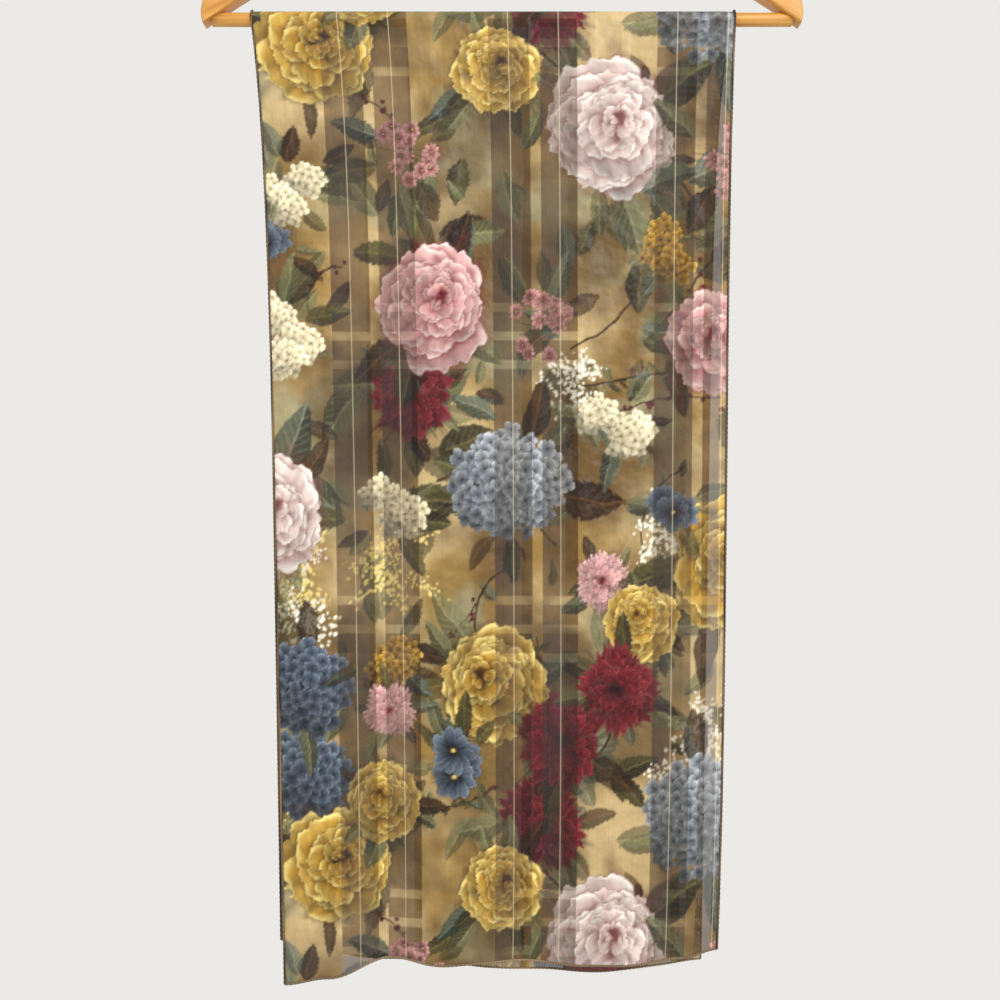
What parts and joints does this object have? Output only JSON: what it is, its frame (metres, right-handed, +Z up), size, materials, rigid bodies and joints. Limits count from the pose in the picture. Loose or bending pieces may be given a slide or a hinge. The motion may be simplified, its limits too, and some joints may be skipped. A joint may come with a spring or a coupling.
{
  "type": "chiffon scarf on a wooden trouser-bar hanger",
  "caption": "Oblong sheer floral scarf with satin stripes and rolled hems, folded over the bar of a plain wooden hanger that hangs by its wire hook.",
  "frame": {"origin": "point inside the hook's crook that bears on the rail", "axes": "+Z up, +X to the right of the scarf's front, the front faces -Y"},
  "size_m": [0.4418, 0.0191, 0.9233],
  "materials": {
    "chiffon": "semi-sheer crepe chiffon with satin warp stripes and cross bars, painterly flower print",
    "hem_thread": "narrow rolled hem overstitched in dark brown thread",
    "beech": "clear-lacquered honey beech",
    "steel_wire": "bright drawn wire"
  },
  "bodies": {
    "root": {"scarf_front_fall": "chiffon", "scarf_over_bar": "chiffon", "scarf_back_fall": "chiffon", "hem_left_front": "hem_thread", "hem_left_over_bar": "hem_thread", "hem_left_back": "hem_thread", "hem_right_front": "hem_thread", "hem_right_over_bar": "hem_thread", "hem_right_back": "hem_thread", "hem_foot_front": "hem_thread", "hem_foot_back": "hem_thread", "arm_left": "beech", "arm_right": "beech", "trouser_bar": "beech", "hook": "steel_wire"}
  },
  "joints": []
}
